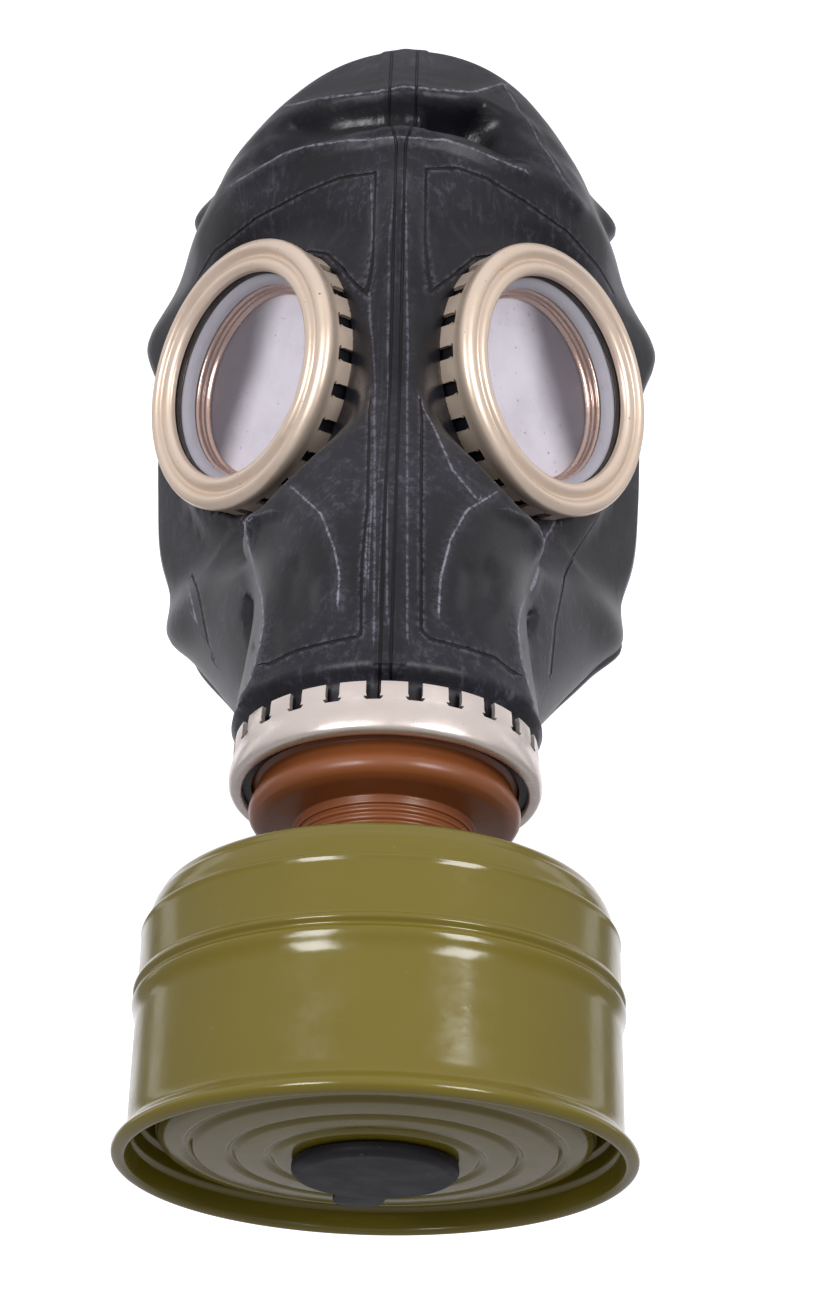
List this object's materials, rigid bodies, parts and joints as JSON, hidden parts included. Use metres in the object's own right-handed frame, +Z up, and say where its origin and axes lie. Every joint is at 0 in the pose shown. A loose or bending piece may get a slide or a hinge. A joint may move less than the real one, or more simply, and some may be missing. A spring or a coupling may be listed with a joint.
{
  "type": "gas mask style costume mask",
  "caption": "Whole-head rubber mask in the gas mask style, with round metal-rimmed eyepieces and a round canister screwed on below the chin.",
  "frame": {"origin": "inner side of the crown, at its highest point on the middle plane, where the top of the wearer's head carries the mask", "axes": "+Z up, -Y out of the face, +X to the wearer's left"},
  "size_m": [0.156, 0.2994, 0.3216],
  "materials": {
    "rubber": "aged, satin with dust",
    "eye_metal": "champagne anodised, satin",
    "band_metal": "brushed",
    "moulding": "moulded, semi-gloss",
    "enamel": "gloss",
    "glass": "clear, dusty",
    "film": "hazy",
    "gasket": "grey, translucent",
    "plug_rubber": "satin"
  },
  "bodies": {
    "root": {"helmet": "rubber", "valve_band": "band_metal", "valve_body": "moulding", "canister": "enamel", "inlet_plug": "plug_rubber", "eye_ring_left": "eye_metal", "lens_left": "glass", "eye_gasket_left": "gasket", "spring_ring_left": "eye_metal", "inner_lens_left": "film", "eye_ring_right": "eye_metal", "lens_right": "glass", "eye_gasket_right": "gasket", "spring_ring_right": "eye_metal", "inner_lens_right": "film"}
  },
  "joints": []
}
